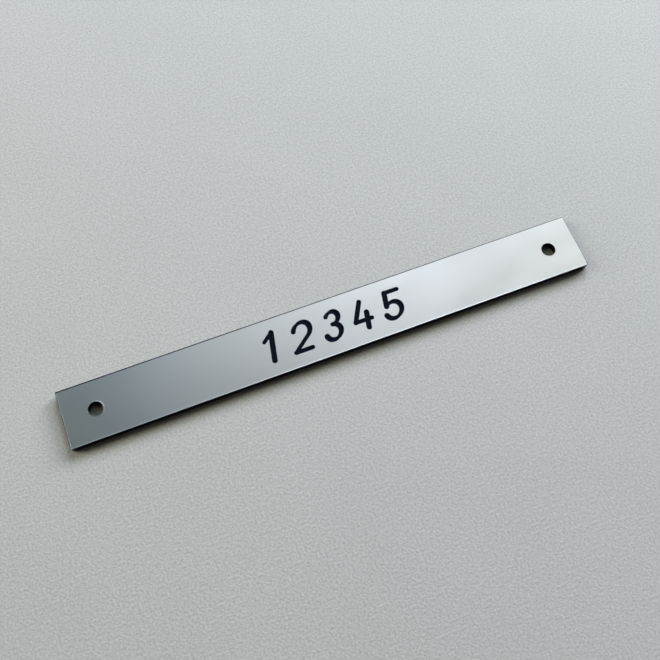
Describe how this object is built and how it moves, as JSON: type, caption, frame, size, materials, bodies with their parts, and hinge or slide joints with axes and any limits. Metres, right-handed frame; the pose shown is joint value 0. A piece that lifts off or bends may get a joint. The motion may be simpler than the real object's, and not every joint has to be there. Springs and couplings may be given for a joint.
{
  "type": "name plate",
  "caption": "Long narrow screw-on name plate with a thin brushed metal face on a black core, engraved through to the core.",
  "frame": {"origin": "centre of the back, at the middle of the plate's length and width", "axes": "+X along the length, to the right as the numerals are read; +Y across the width, towards the top of the numerals; +Z out of the brushed face"},
  "size_m": [0.12, 0.013, 0.002],
  "materials": {
    "core": "black engraving plastic, satin sawn edge, finely grained back",
    "film": "dark adhesive film",
    "face": "fine brushed along the length, satin"
  },
  "bodies": {
    "root": {"core_plate": "core", "bond_film": "film", "face_sheet": "face"}
  },
  "joints": []
}
